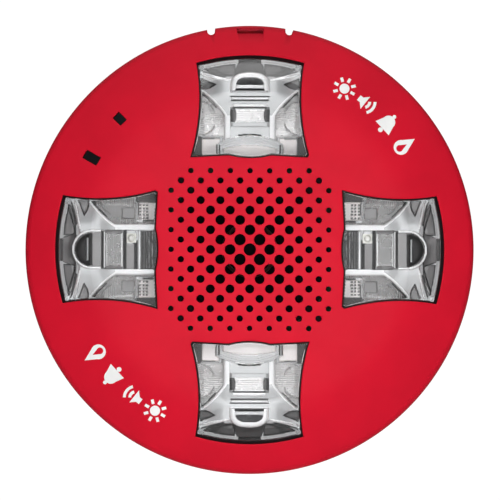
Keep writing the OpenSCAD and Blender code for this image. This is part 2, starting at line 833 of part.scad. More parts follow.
mounting_plate();
terminal_block();
terminal_screws();
terminal_clamps();
plate_contacts();
shorting_spring();
front_cover();
front_symbols();
rear_housing();
cover_screws();
hinge_pins();
lens(0);  // lens_right
lens(1);  // lens_top
lens(2);  // lens_left
lens(3);  // lens_bottom
reflector(0);  // reflector_right
reflector(1);  // reflector_top
reflector(2);  // reflector_left
reflector(3);  // reflector_bottom
led_board(0);  // led_board_right
led_board(1);  // led_board_top
led_board(2);  // led_board_left
led_board(3);  // led_board_bottom
led(0);  // led_right
led(1);  // led_top
led(2);  // led_left
led(3);  // led_bottom
board_connectors();
main_board();
board_screws();
capacitors();
inductor();
power_transistors();
control_chip();
contact_blades();
blade_holder();
driver_gasket();
driver_frame();
driver_screws();
top_plate();
magnet();
yoke();
voice_coil();
diaphragm();
dust_cap();
candela_window();
status_window();
light_pipe();
status_led();
candela_guide();
candela_slider();
tone_switch();
tone_knob();
volume_switch();
volume_slider();
release_latch();
latch_spring();
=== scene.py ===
"""The horn strobe's looks: cover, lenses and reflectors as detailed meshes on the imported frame."""

import math

import bmesh
import bpy
import numpy as np
from mathutils import Matrix, Vector
from mathutils.geometry import delaunay_2d_cdt


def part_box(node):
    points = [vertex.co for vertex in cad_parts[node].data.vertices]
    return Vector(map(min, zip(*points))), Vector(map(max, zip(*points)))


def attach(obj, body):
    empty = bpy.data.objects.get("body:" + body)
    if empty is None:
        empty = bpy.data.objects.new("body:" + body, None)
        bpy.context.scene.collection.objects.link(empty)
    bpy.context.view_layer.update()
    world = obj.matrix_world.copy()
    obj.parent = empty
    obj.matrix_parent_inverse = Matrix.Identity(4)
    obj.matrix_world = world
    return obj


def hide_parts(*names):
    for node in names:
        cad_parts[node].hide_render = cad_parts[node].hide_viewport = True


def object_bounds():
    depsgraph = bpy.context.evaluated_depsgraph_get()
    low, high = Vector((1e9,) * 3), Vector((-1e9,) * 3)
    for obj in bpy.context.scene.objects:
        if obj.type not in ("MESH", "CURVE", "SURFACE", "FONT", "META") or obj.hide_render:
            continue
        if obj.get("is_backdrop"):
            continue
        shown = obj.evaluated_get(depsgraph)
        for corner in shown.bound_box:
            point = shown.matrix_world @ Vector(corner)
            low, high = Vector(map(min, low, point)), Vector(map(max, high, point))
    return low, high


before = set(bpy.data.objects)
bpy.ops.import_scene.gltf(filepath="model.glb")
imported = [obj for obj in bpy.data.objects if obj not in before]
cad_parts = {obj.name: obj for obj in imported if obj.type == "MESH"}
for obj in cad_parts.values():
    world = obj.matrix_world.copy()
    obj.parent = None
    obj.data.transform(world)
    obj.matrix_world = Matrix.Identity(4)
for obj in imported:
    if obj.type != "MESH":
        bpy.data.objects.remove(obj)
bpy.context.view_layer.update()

MM = 0.001
SIDES = ("right", "top", "left", "bottom")

# The front's shape, in millimetres from the centre and from the wall, as the CAD cover has it
COVER_LOW, COVER_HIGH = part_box("front_cover")
COVER_R = 86.35
COVER_H = -COVER_LOW[1] / MM
SKIRT_Z = -COVER_HIGH[1] / MM
COVER_WALL = 2.4
FLAT_R = 58.0
BEND_R = 32.0
SLOPE = math.radians(15)
EDGE_R = 3.0
DRAFT = math.radians(0.6)
FILLET = 0.45
PORT_FILLET = 0.25
HOLE_FILLET = 0.22

# Windows, as drawn for the right-hand one
WINDOW_OUTER_R = 74.5
WINDOW_OUTER_HALF = 20.7
WINDOW_WAIST = (58.0, 19.5)
WINDOW_INNER = (35.2, 22.9)
INNER_MIDDLE_X = 36.4
BULGE_X = 35.0
BULGE_R = 33.4

# How far the lens and the tray stand inside a window at its inner edge, sides and outer edge
LENS_GAPS = (0.5, 0.6, 1.3)
TRAY_GAPS = (1.1, 1.35, 2.1)
LENS_TOP_DEPTH = 0.25
LENS_THICKNESS = 1.8
LENS_WALL = 1.5
LENS_DEPTH = 4.2

# The rim's cuts: the release slot with its channel and notches at the top, the hinge opening at the bottom
PAD_HALF, PAD_Y = 19, (80.6, 83.6)
CHANNEL_HALF, CHANNEL_Y, CHANNEL_TOP = 5.2, (70, 85.3), 37
SLOT_HALF, SLOT_Y, SLOT_BOTTOM = 5, (82.85, 84.85), 30
NOTCH_X, NOTCH_HALF, NOTCH_BOTTOM = 15, 1.5, 82.3
HINGE_HALF, HINGE_Y, HINGE_TOP = 30, (-95, -60), 6.5

GRILLE_PITCH = 3.77
GRILLE_ROWS = 8
GRILLE_HOLE_MAX = 4.7
GRILLE_HOLE_MIN = 2.1

# Ports: distance from the centre, angle in degrees, length and width
CANDELA_PORT = (70.0, 150.0, 6.2, 3.6)
STATUS_PORT = (70.6, 135.0, 4.3, 3.4)
PORT_CORNER = 0.35


# ---------------------------------------------------------------- materials


class Nodes:
    """A material's node tree, with short ways to add and join nodes."""

    def __init__(self, name):
        self.material = bpy.data.materials.new(name)
        self.material.use_nodes = True
        self.tree = self.material.node_tree
        self.tree.nodes.clear()
        self.output = self.add("ShaderNodeOutputMaterial")
        self.shader = self.add("ShaderNodeBsdfPrincipled")
        self.join(self.shader, "BSDF", self.output, "Surface")

    def add(self, kind, **values):
        node = self.tree.nodes.new(kind)
        for key, value in values.items():
            if hasattr(node, key):
                setattr(node, key, value)
            else:
                node.inputs[key.replace("_", " ")].default_value = value
        return node

    def join(self, source, out, target, into):
        self.tree.links.new(source.outputs[out], target.inputs[into])

    def set(self, **values):
        for key, value in values.items():
            self.shader.inputs[key.replace("_", " ")].default_value = value

    def noise(self, scale, detail=3.0, stretch=(1, 1, 1)):
        """Noise in the object's own space, whose scale is in cells per metre."""
        place = self.add("ShaderNodeTexCoord")
        mapping = self.add("ShaderNodeMapping", Scale=stretch)
        noise = self.add("ShaderNodeTexNoise", Scale=scale, Detail=detail)
        self.join(place, "Object", mapping, "Vector")
        self.join(mapping, "Vector", noise, "Vector")
        return noise

    def vary_colour(self, colour, amount, scale, stretch=(1, 1, 1)):
        """Base colour that drifts by a share of itself."""
        ramp = self.add("ShaderNodeValToRGB")
        dark = [c * (1 - amount) for c in colour[:3]]
        light = [min(1, c * (1 + amount)) for c in colour[:3]]
        ramp.color_ramp.elements[0].color = (*dark, 1)
        ramp.color_ramp.elements[1].color = (*light, 1)
        ramp.color_ramp.elements[0].position = 0.35
        ramp.color_ramp.elements[1].position = 0.65
        self.join(self.noise(scale, 4.0, stretch), "Fac", ramp, "Fac")
        self.join(ramp, "Color", self.shader, "Base Color")

    def vary_roughness(self, low, high, scale, stretch=(1, 1, 1)):
        span = self.add("ShaderNodeMapRange", To_Min=low, To_Max=high)
        self.join(self.noise(scale, 4.0, stretch), "Fac", span, "Value")
        self.join(span, "Result", self.shader, "Roughness")

    def bump(self, scale, height, edge=0.0, stretch=(1, 1, 1)):
        """Fine relief of that height in metres, over edges that a bevel shader softens."""
        bump = self.add("ShaderNodeBump", Strength=1.0, Distance=height)
        self.join(self.noise(scale, 3.0, stretch), "Fac", bump, "Height")
        if edge:
            bevel = self.add("ShaderNodeBevel", samples=4, Radius=edge)
            self.join(bevel, "Normal", bump, "Normal")
        self.join(bump, "Normal", self.shader, "Normal")


def plastic(name, colour, rough=(0.42, 0.55), specular=0.35, grain=2600, height=1.2e-5, edge=2.5e-4):
    n = Nodes(name)
    n.set(Specular_IOR_Level=specular)
    n.vary_colour(colour, 0.04, 60)
    n.vary_roughness(rough[0], rough[1], 220)
    n.bump(grain, height, edge)
    return n.material


def metal(name, colour, rough=(0.2, 0.35), grain=1500, height=6e-6, edge=2e-4, stretch=(1, 1, 1)):
    n = Nodes(name)
    n.set(Metallic=1.0)
    n.vary_colour(colour, 0.06, 120, stretch)
    n.vary_roughness(rough[0], rough[1], 400, stretch)
    n.bump(grain, height, edge, stretch)
    return n.material


def satin(name, colour, metallic, rough):
    """Metallised plastic whose base shows through."""
    n = Nodes(name)
    n.set(Metallic=metallic)
    n.vary_colour(colour, 0.05, 90)
    n.vary_roughness(rough[0], rough[1], 300)
    n.bump(700, 8e-6)
    return n.material


def ribbed(name, colour, metallic, across):
    """Metallised plastic with fine ribs, which follow each other along that axis."""
    pitch, height = 0.8e-3, 1.1e-4
    n = Nodes(name)
    n.set(Metallic=metallic)
    n.vary_colour(colour, 0.05, 90)
    n.vary_roughness(0.22, 0.32, 300)
    place = n.add("ShaderNodeTexCoord")
    wave = n.add("ShaderNodeTexWave", bands_direction=across, Scale=math.pi / 10 / pitch, Distortion=0.4)
    bump = n.add("ShaderNodeBump", Strength=1.0, Distance=height)
    n.join(place, "Object", wave, "Vector")
    n.join(wave, "Fac", bump, "Height")
    n.join(bump, "Normal", n.shader, "Normal")
    return n.material


def clear(name, tint=(0.97, 0.98, 0.985, 1), rough=0.03):
    """Clear moulding that lets lamps light what is behind it."""
    n = Nodes(name)
    n.set(Base_Color=tint, Transmission_Weight=1.0, IOR=1.46)
    n.vary_roughness(rough, rough + 0.03, 150)
    n.bump(90, 4e-6)
    path = n.add("ShaderNodeLightPath")
    either = n.add("ShaderNodeMath", operation="MAXIMUM")
    through = n.add("ShaderNodeBsdfTransparent", Color=(0.96, 0.965, 0.97, 1))
    mix = n.add("ShaderNodeMixShader")
    n.join(path, "Is Shadow Ray", either, 0)
    n.join(path, "Is Diffuse Ray", either, 1)
    n.join(either, "Value", mix, 0)
    n.join(n.shader, "BSDF", mix, 1)
    n.join(through, "BSDF", mix, 2)
    n.join(mix, "Shader", n.output, "Surface")
    return n.material


RED = plastic("red_plastic", (0.60, 0.004, 0.021), (0.5, 0.62), 0.12, 3200, 1.6e-5, 0)
RED_INNER = plastic("red_inner", (0.50, 0.010, 0.024), (0.45, 0.6), 0.2)
# The latch's red is lighter than the cover's: painted light that offsets the shade in the deep release slot
LATCH_LIT_RED = plastic("latch_lit_red", (0.90, 0.030, 0.070), (0.45, 0.6), 0.2)
GREY = plastic("plate_grey", (0.24, 0.245, 0.25), (0.5, 0.65))
WHITE_INK = plastic("white_ink", (0.86, 0.86, 0.85), (0.35, 0.5), 0.3, 5000, 6e-6, 0)
BLACK = plastic("black_plastic", (0.018, 0.018, 0.02), (0.4, 0.55))
SMOKED = plastic("smoked_window", (0.004, 0.004, 0.005), (0.08, 0.14), 0.5, 1800, 2e-6)
RUBBER = plastic("gasket_rubber", (0.005, 0.005, 0.005), (0.8, 0.9), 0.08, 1500, 6e-5)
CONE = plastic("cone_paper", (0.004, 0.004, 0.0045), (0.8, 0.9), 0.05, 1400, 4e-5)
WHITE = plastic("knob_white", (0.78, 0.78, 0.75))
BLUE = plastic("switch_blue", (0.03, 0.10, 0.36))
BOARD = plastic("board_green", (0.015, 0.11, 0.045), (0.25, 0.4), 0.5, 900, 1e-5)
SLEEVE = plastic("capacitor_sleeve", (0.015, 0.02, 0.05), (0.2, 0.3), 0.5)
# Near-black for painted shadow: the ring round each lens, and the slits and grooves in the trays
SHADOW_BLACK = plastic("shadow_black", (0.006, 0.006, 0.007), (0.4, 0.5), 0.3, 2400, 1e-5, 0)
LED_BOARD = plastic("led_board_mask", (0.30, 0.295, 0.29), (0.3, 0.45), 0.4, 1400, 3e-5)
LED_FACE = plastic("led_package", (0.88, 0.87, 0.80), (0.2, 0.3), 0.5, 3000, 4e-6)
STEEL = metal("zinc_steel", (0.60, 0.60, 0.61), (0.25, 0.4))
BRASS = metal("contact_brass", (0.72, 0.52, 0.22), (0.2, 0.35))
COPPER = metal("copper_wire", (0.66, 0.30, 0.16), (0.25, 0.4), 2500, 4e-5, 2e-4, (0.2, 0.2, 3))
BASKET = plastic("basket_paint", (0.006, 0.006, 0.007), (0.7, 0.8), 0.08)
VARNISH = plastic("coil_varnish", (0.03, 0.010, 0.006), (0.5, 0.6), 0.15, 2500, 4e-5)
FERRITE = plastic("ferrite", (0.03, 0.03, 0.032), (0.6, 0.75), 0.4, 900, 4e-5)
CLEAR = clear("clear_lens")
GUIDE = clear("light_guide", (0.92, 0.96, 0.98, 1), 0.1)

CAD_LOOKS = {
    RED_INNER: ("rear_housing",),
    LATCH_LIT_RED: ("release_latch",),
    GREY: ("mounting_plate",),
    WHITE_INK: ("front_symbols",),
    BLACK: (
        "terminal_block", "blade_holder", "candela_guide", "volume_switch", "power_transistors",
        "control_chip",
    ),
    SMOKED: ("candela_window", "status_window"),
    RUBBER: ("driver_gasket",),
    CONE: ("diaphragm", "dust_cap"),
    WHITE: ("board_connectors", "candela_slider", "tone_knob", "volume_slider"),
    BLUE: ("tone_switch",),
    BOARD: ("main_board",),
    SLEEVE: ("capacitors",),
    LED_BOARD: tuple("led_board_" + s for s in SIDES),
    LED_FACE: ("status_led", *("led_" + s for s in SIDES)),
    STEEL: (
        "terminal_screws", "terminal_clamps", "cover_screws", "hinge_pins", "board_screws", "latch_spring",
        "top_plate", "yoke",
    ),
    BRASS: ("plate_contacts", "shorting_spring", "contact_blades"),
    COPPER: ("inductor",),
    VARNISH: ("voice_coil",),
    BASKET: ("driver_frame", "driver_screws"),
    FERRITE: ("magnet",),
    GUIDE: ("light_pipe",),
}


def paint(obj, *materials):
    """Fills the object's material slots in that order."""
    for k, material in enumerate(materials):
        if k < len(obj.material_slots):
            obj.material_slots[k].material = material
        else:
            obj.data.materials.append(material)


def paint_cad_nodes():
    """Gives each carried CAD node its material."""
    for material, nodes in CAD_LOOKS.items():
        for name in nodes:
            paint(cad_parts[name], material)


# ---------------------------------------------------------------- the front's surface

SLOPE_N = (math.sin(SLOPE), math.cos(SLOPE))
SKIRT_N = (math.cos(DRAFT), math.sin(DRAFT))
BEND_END = (FLAT_R + BEND_R * SLOPE_N[0], COVER_H - BEND_R * (1 - SLOPE_N[1]))


def edge_centre():
    """Centre of the arc that touches the sloping front and the side."""
    q1 = SLOPE_N[0] * BEND_END[0] + SLOPE_N[1] * BEND_END[1] - EDGE_R
    q2 = SKIRT_N[0] * COVER_R + SKIRT_N[1] * SKIRT_Z - EDGE_R
    det = SLOPE_N[0] * SKIRT_N[1] - SLOPE_N[1] * SKIRT_N[0]
    return (q1 * SKIRT_N[1] - q2 * SLOPE_N[1]) / det, (SLOPE_N[0] * q2 - SKIRT_N[0] * q1) / det


EDGE_C = edge_centre()
SLOPE_ANGLE = math.atan2(SLOPE_N[1], SLOPE_N[0])
SKIRT_ANGLE = math.atan2(SKIRT_N[1], SKIRT_N[0])


def front_z(r, inset=0.0):
    """Height of the front at distance r from the centre, that far below its outer surface."""
    if r < FLAT_R:
        return COVER_H - inset
    bend = BEND_R - inset
    if r < FLAT_R + bend * SLOPE_N[0]:
        return COVER_H - BEND_R + math.sqrt(bend**2 - (r - FLAT_R) ** 2)
    z_end = COVER_H - BEND_R + bend * SLOPE_N[1]
    return z_end - (r - FLAT_R - bend * SLOPE_N[0]) * math.tan(SLOPE)


def row(x, y, z):
    """From the front's own millimetres, z out of the wall, to the row's metres."""
    return Vector((x * MM, -z * MM, y * MM))


def turned(points, degrees):
    """The points, turned anticlockwise about the centre."""
    c, s = math.cos(math.radians(degrees)), math.sin(math.radians(degrees))
    return [(x * c - y * s, x * s + y * c) for x, y in points]


def circle(r, count, centre=(0, 0)):
    steps = [2 * math.pi * k / count for k in range(count)]
    return [(centre[0] + r * math.cos(a), centre[1] + r * math.sin(a)) for a in steps]


def circle_through(a, b, c):
    """Centre and radius of the circle through three points."""
    d = 2 * (a[0] * (b[1] - c[1]) + b[0] * (c[1] - a[1]) + c[0] * (a[1] - b[1]))
    a2, b2, c2 = (p[0] ** 2 + p[1] ** 2 for p in (a, b, c))
    x = (a2 * (b[1] - c[1]) + b2 * (c[1] - a[1]) + c2 * (a[1] - b[1])) / d
    y = (a2 * (c[0] - b[0]) + b2 * (a[0] - c[0]) + c2 * (b[0] - a[0])) / d
    return x, y, math.dist((x, y), a)


WINDOW_OUTER = (math.sqrt(WINDOW_OUTER_R**2 - WINDOW_OUTER_HALF**2), WINDOW_OUTER_HALF)
SIDE_X, SIDE_Y, SIDE_R = circle_through(WINDOW_OUTER, WINDOW_WAIST, WINDOW_INNER)


def side_half(x, gap):
    """Half the width of a window at distance x from the centre."""
    return SIDE_Y - math.sqrt(max((SIDE_R + gap) ** 2 - (x - SIDE_X) ** 2, 0))


def inner_x(y, gap):
    """Where a window's inner edge is, at y across it."""
    straight = INNER_MIDDLE_X + gap - abs(y) * (INNER_MIDDLE_X - WINDOW_INNER[0]) / WINDOW_INNER[1]
    if abs(y) >= BULGE_R:
        return straight
    bulge = BULGE_X + gap + BULGE_R - math.sqrt(BULGE_R**2 - y**2)
    return min(straight, bulge)


def window_loop(gaps=(0, 0, 0)):
    """Outline of the right-hand window, inset at its inner edge, sides and outer edge, anticlockwise."""
    step = 1.0
    inner_gap, gap, outer_gap = gaps
    outer_r = WINDOW_OUTER_R - outer_gap
    x = WINDOW_OUTER[0]
    for _ in range(8):
        x = math.sqrt(outer_r**2 - side_half(x, gap) ** 2)
    corner = math.atan2(side_half(x, gap), x)
    inner = WINDOW_INNER[0] + inner_gap
    inner_half = side_half(inner, gap)
    n_arc = round(2 * corner * outer_r / step)
    n_side = round((x - inner) / step)
    n_inner = round(2 * inner_half / step)
    arc = [-corner + 2 * corner * k / n_arc for k in range(n_arc)]
    points = [(outer_r * math.cos(a), outer_r * math.sin(a)) for a in arc]
    xs = [x + (inner - x) * k / n_side for k in range(n_side)]
    points += [(u, side_half(u, gap)) for u in xs]
    ys = [inner_half * (1 - 2 * k / n_inner) for k in range(n_inner)]
    points += [(inner_x(v, inner_gap), v) for v in ys]
    points += [(u, -side_half(u, gap)) for u in reversed(xs)]
    return tidy_loop(points)


def tidy_loop(points):
    """Drops points that lie too close to the one before."""
    least = 0.25
    kept = []
    for p in points:
        if not kept or math.dist(p, kept[-1]) > least:
            kept.append(p)
    if math.dist(kept[0], kept[-1]) <= least:
        kept.pop()
    return kept


def port_loop(port):
    """Outline of a port, (distance, angle, length, width), with rounded corners."""
    r, angle, length, width = port
    h, w, c = length / 2, width / 2, PORT_CORNER
    corners = [(h, w), (-h, w), (-h, -w), (h, -w)]
    points = []
    for k, (x, y) in enumerate(corners):
        cx, cy = x - math.copysign(c, x), y - math.copysign(c, y)
        for j in range(4):
            a = math.radians(90 * k + 30 * j)
            points.append((r + cx + c * math.cos(a), cy + c * math.sin(a)))
    return turned(points, angle)


def grille_circles():
    """Radius and centre of each grille hole: a square of staggered rows, smaller towards its edge."""
    shrink = (GRILLE_HOLE_MAX - GRILLE_HOLE_MIN) / GRILLE_ROWS
    span = range(-GRILLE_ROWS, GRILLE_ROWS + 1)
    for i in span:
        for j in span:
            if (i + j) % 2 == 0 and abs(i) + abs(j) < 2 * GRILLE_ROWS:
                hole = GRILLE_HOLE_MAX - shrink * max(abs(i), abs(j))
                yield hole / 2, (i * GRILLE_PITCH, j * GRILLE_PITCH)


def loop_normals(loop, outwards):
    """Unit normals of a closed outline, lengthened at corners so that an offset keeps its width."""
    normals = []
    count = len(loop)
    sign = 1 if outwards else -1
    for k, p in enumerate(loop):
        before, after = loop[k - 1], loop[(k + 1) % count]
        a = Vector((p[1] - before[1], before[0] - p[0])).normalized()
        b = Vector((after[1] - p[1], p[0] - after[0])).normalized()
        mid = (a + b).normalized()
        normals.append(mid * (sign / max(mid.dot(a), 0.6)))
    return normals


def offset_loop(loop, normals, amount):
    return [(p[0] + n.x * amount, p[1] + n.y * amount) for p, n in zip(loop, normals)]


def inside(loop, x, y):
    """Whether a point lies in a closed outline."""
    hit = False
    for k, (x1, y1) in enumerate(loop):
        x0, y0 = loop[k - 1]
        if (y0 > y) != (y1 > y) and x < (x1 - x0) * (y - y0) / (y1 - y0) + x0:
            hit = not hit
    return hit


class Shell:
    """A bmesh sheet with two faces, made of outlines, rings of points and triangulated fields."""

    def __init__(self):
        self.bm = bmesh.new()

    def ring(self, points):
        """Vertices at those points, in order round an outline."""
        return [self.bm.verts.new(row(*p)) for p in points]

    def bridge(self, first, second):
        """Joins two closed rings with the same number of points."""
        count = len(first)
        for k in range(count):
            m = (k + 1) % count
            self.bm.faces.new((first[k], first[m], second[m], second[k]))

    def chain(self, rings):
        for first, second in zip(rings, rings[1:]):
            self.bridge(first, second)

    def field(self, outer, holes, height, extra):
        """Fills between rings of vertices: outer and holes are (vertices, outline) pairs."""
        flat, verts, edges = [], [], []
        for ring_verts, loop in (outer, *holes):
            base = len(flat)
            flat += [Vector(p) for p in loop]
            verts += ring_verts
            count = len(loop)
            edges += [(base + k, base + (k + 1) % count) for k in range(count)]
        for p in extra:
            flat.append(Vector(p))
            verts.append(self.bm.verts.new(row(p[0], p[1], height(math.hypot(*p)))))
        points, _, faces, origins, _, _ = delaunay_2d_cdt(flat, edges, [], 0, 1e-7)
        solid_loops = [(loop, loop_box(loop)) for _, loop in holes]
        for face in faces:
            x = sum(points[i].x for i in face) / 3
            y = sum(points[i].y for i in face) / 3
            if not inside(outer[1], x, y):
                continue
            near = (lo for lo, b in solid_loops if b[0] < x < b[1] and b[2] < y < b[3])
            if any(inside(lo, x, y) for lo in near):
                continue
            self.bm.faces.new([verts[origins[i][0]] for i in face])

    def object(self, name, sharp=35):
        bmesh.ops.recalc_face_normals(self.bm, faces=self.bm.faces)
        return finished(self.bm, name, sharp)


def loop_box(loop):
    xs = [p[0] for p in loop]
    ys = [p[1] for p in loop]
    return min(xs), max(xs), min(ys), max(ys)


def finished(bm, name, sharp=35):
    """Turns a bmesh into an object with smooth faces and edges sharp past that many degrees."""
    mesh = bpy.data.meshes.new(name)
    limit = math.radians(sharp)
    for face in bm.faces:
        face.smooth = True
    for edge in bm.edges:
        edge.smooth = len(edge.link_faces) != 2 or edge.calc_face_angle(0) < limit
    bm.to_mesh(mesh)
    bm.free()
    obj = bpy.data.objects.new(name, mesh)
    bpy.context.scene.collection.objects.link(obj)
    return obj


def fillet_rings(loop, outwards, radius, height, steps=4):
    """Rings of a quarter-round edge, from the flat surface over into the side wall."""
    normals = loop_normals(loop, outwards)
    rings = []
    for k in range(steps + 1):
        a = math.pi / 2 * k / steps
        points = offset_loop(loop, normals, radius * (1 - math.sin(a)))
        drop = radius * (1 - math.cos(a))
        rings.append([(x, y, height(math.hypot(x, y)) - drop) for x, y in points])
    return rings


def rings_of_points(radii, blocked):
    """Points on circles about the centre, clear of the blocked outlines."""
    step, margin = 2.4, 0.9
    boxes = [(loop, loop_box(loop)) for loop in blocked]
    points = []
    for k, r in enumerate(radii):
        count = round(2 * math.pi * r / step)
        for j in range(count):
            a = 2 * math.pi * (j + 0.5 * (k % 2)) / count
            p = (r * math.cos(a), r * math.sin(a))
            if not any(too_close(p, loop, box, margin) for loop, box in boxes):
                points.append(p)
    return points


def too_close(p, loop, box, margin):
    """Whether a point lies in an outline or nearly touches it; its box spares most of the work."""
    if not (box[0] - margin < p[0] < box[1] + margin and box[2] - margin < p[1] < box[3] + margin):
        return False
    return inside(loop, *p) or any(math.dist(p, q) < margin for q in loop)


def cover_shell():
    """The cover as one closed shell, with rounded rims on its windows, ports and grille holes."""
    shell = Shell()
    openings = [(turned(window_loop(), 90 * i), FILLET) for i in range(4)]
    openings += [(port_loop(port), PORT_FILLET) for port in (CANDELA_PORT, STATUS_PORT)]
    large = len(openings)
    for r, centre in grille_circles():
        openings.append((circle(r, 24 if r > 1.4 else 16, centre), HOLE_FILLET))
    top_r = EDGE_C[0] + EDGE_R * SLOPE_N[0]
    low_r = EDGE_C[0] + (EDGE_R - COVER_WALL) * SLOPE_N[0]

    def below(r):
        return front_z(r, COVER_WALL)

    tops, bottoms = [], []
    for loop, radius in openings:
        rings = fillet_rings(loop, True, radius, front_z)
        rings.append([(x, y, below(math.hypot(x, y))) for x, y in loop])
        made = [shell.ring(points) for points in rings]
        shell.chain(made)
        tops.append((made[0], [p[:2] for p in rings[0]]))
        bottoms.append((made[-1], loop))

    count, chamfer = 288, 0.4
    profile = [(top_r, front_z(top_r))]
    for k in range(1, 9):
        a = SLOPE_ANGLE + (SKIRT_ANGLE - SLOPE_ANGLE) * k / 8
        profile.append((EDGE_C[0] + EDGE_R * math.cos(a), EDGE_C[1] + EDGE_R * math.sin(a)))
    profile += [(COVER_R, SKIRT_Z + chamfer), (COVER_R - chamfer, SKIRT_Z)]
    inner_r = COVER_R - COVER_WALL
    profile += [(inner_r + chamfer, SKIRT_Z), (inner_r, SKIRT_Z + chamfer)]
    for k in range(4):
        a = SKIRT_ANGLE + (SLOPE_ANGLE - SKIRT_ANGLE) * k / 3
        reach = EDGE_R - COVER_WALL
        profile.append((EDGE_C[0] + reach * math.cos(a), EDGE_C[1] + reach * math.sin(a)))
    profile[-1] = (low_r, below(low_r))
    rims = []
    for r, z in profile:
        rims.append(shell.ring([(x, y, z) for x, y in circle(r, count)]))
    shell.chain(rims)

    # Rings of points where the front bends, so that it stays smooth there
    blocked = [loop for loop, _ in openings[:large]]
    radii = [FLAT_R + 8.2 * k / 5 for k in range(6)] + [69.4, 72.6, 75.8, 79]
    extra = rings_of_points(radii, blocked)
    shell.field((rims[0], circle(top_r, count)), tops, front_z, extra)
    shell.field((rims[-1], circle(low_r, count)), bottoms, below, extra)
    return shell.object("cover_shell", 40)


def cutter(name, half, ys, zs):
    """A box for a boolean, that far to each side of the middle, in front millimetres."""
    bm = bmesh.new()
    corners = [bm.verts.new(row(x, y, z)) for x in (-half, half) for y in ys for z in zs]
    bmesh.ops.convex_hull(bm, input=corners)
    bmesh.ops.recalc_face_normals(bm, faces=bm.faces)
    return finished(bm, name)


def combine(obj, other, operation):
    """Applies a boolean of the two, and removes the second."""
    modifier = obj.modifiers.new("cut", "BOOLEAN")
    modifier.operation = operation
    modifier.solver = "EXACT"
    modifier.object = other
    graph = bpy.context.evaluated_depsgraph_get()
    mesh = bpy.data.meshes.new_from_object(obj.evaluated_get(graph))
    obj.modifiers.clear()
    old = obj.data
    obj.data = mesh
    bpy.data.meshes.remove(old)
    bpy.data.objects.remove(other)


def notch_cutter(x):
    """A slot with a round bottom, cut into the rim from outside."""
    half, past_rim = NOTCH_HALF, 90
    loop = [(x + half, past_rim), (x - half, past_rim)]
    for k in range(9):
        a = math.pi + math.pi * k / 8
        loop.append((x + half * math.cos(a), NOTCH_BOTTOM + half + half * math.sin(a)))
    shell = Shell()
    low = shell.ring([(u, v, -2) for u, v in loop])
    high = shell.ring([(u, v, COVER_H + 2) for u, v in loop])
    shell.bridge(low, high)
    shell.bm.faces.new(low)
    shell.bm.faces.new(reversed(high))
    return shell.object(f"notch_{x}")


def front_cover():
    """The shell, thicker behind the slot, with the rim's cuts."""
    cover = cover_shell()
    pad_z = (SKIRT_Z + 0.3, front_z(PAD_Y[0], 1.2) - 1.5)
    below, above = -2, 60
    combine(cover, cutter("pad", PAD_HALF, PAD_Y, pad_z), "UNION")
    combine(cover, cutter("channel", CHANNEL_HALF, CHANNEL_Y, (below, CHANNEL_TOP)), "DIFFERENCE")
    combine(cover, cutter("slot", SLOT_HALF, SLOT_Y, (SLOT_BOTTOM, above)), "DIFFERENCE")
    for x in (-NOTCH_X, NOTCH_X):
        combine(cover, notch_cutter(x), "DIFFERENCE")
    combine(cover, cutter("arch", HINGE_HALF, HINGE_Y, (below, HINGE_TOP)), "DIFFERENCE")
    paint(cover, RED)
    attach(cover, "head")
    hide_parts("front_cover")


# ---------------------------------------------------------------- lenses


def lens(i):
    """A clear cover like a shallow tub, whose rim stands in the window."""
    shell = Shell()

    def outside(r):
        return front_z(r, LENS_TOP_DEPTH)

    def inside_z(r):
        return front_z(r, LENS_TOP_DEPTH + LENS_THICKNESS)

    outline = turned(window_loop(LENS_GAPS), 90 * i)
    inner = turned(window_loop([gap + LENS_WALL for gap in LENS_GAPS]), 90 * i)
    edge, margin = 0.6, 0.8
    rings = fillet_rings(outline, False, edge, outside, 5)
    made = [shell.ring(points) for points in rings]
    foot = shell.ring([(x, y, front_z(math.hypot(x, y), LENS_DEPTH)) for x, y in outline])
    shell.chain([*made, foot])
    top_loop = [p[:2] for p in rings[0]]
    inner_foot = shell.ring([(x, y, front_z(math.hypot(x, y), LENS_DEPTH)) for x, y in inner])
    inner_top = shell.ring([(x, y, inside_z(math.hypot(x, y))) for x, y in inner])
    shell.bridge(inner_foot, inner_top)
    stitch(shell.bm, foot, inner_foot)
    # Points between the rings, so that the top follows the front's curve
    step = 1.6
    grid = [(35 + step * a, -23.2 + step * b) for a in range(26) for b in range(30)]
    grid = turned(grid, 90 * i)
    in_top = [p for p in grid if inside(top_loop, *p) and not near_loop(p, top_loop, margin)]
    in_low = [p for p in grid if inside(inner, *p) and not near_loop(p, inner, margin)]
    shell.field((made[0], top_loop), [], outside, in_top)
    shell.field((inner_top, inner), [], inside_z, in_low)
    # A black ring of painted shadow round the lens
    shadow_ring(shell, i)
    piece = shell.object("clear_lens_" + SIDES[i])
    paint(piece, CLEAR, SHADOW_BLACK)
    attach(piece, "head")
    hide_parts("lens_" + SIDES[i])


def shadow_ring(shell, i):
    """A black ring under the cover's rim that fills the gap round the lens with painted shadow."""
    reach, clearance, top, bottom = 1.4, 0.04, 2.5, 3.7
    outer = turned(window_loop([-reach] * 3), 90 * i)
    inner = turned(window_loop([gap - clearance for gap in LENS_GAPS]), 90 * i)
    made = []
    for outline, depth in ((outer, top), (outer, bottom), (inner, bottom), (inner, top)):
        made.append(shell.ring([(x, y, front_z(math.hypot(x, y), depth)) for x, y in outline]))
    before = set(shell.bm.faces)
    shell.bridge(made[0], made[1])
    stitch(shell.bm, made[1], made[2])
    shell.bridge(made[2], made[3])
    stitch(shell.bm, made[3], made[0])
    for face in set(shell.bm.faces) - before:
        face.material_index = 1


def near_loop(p, loop, margin):
    return any(math.dist(p, q) < margin for q in loop)


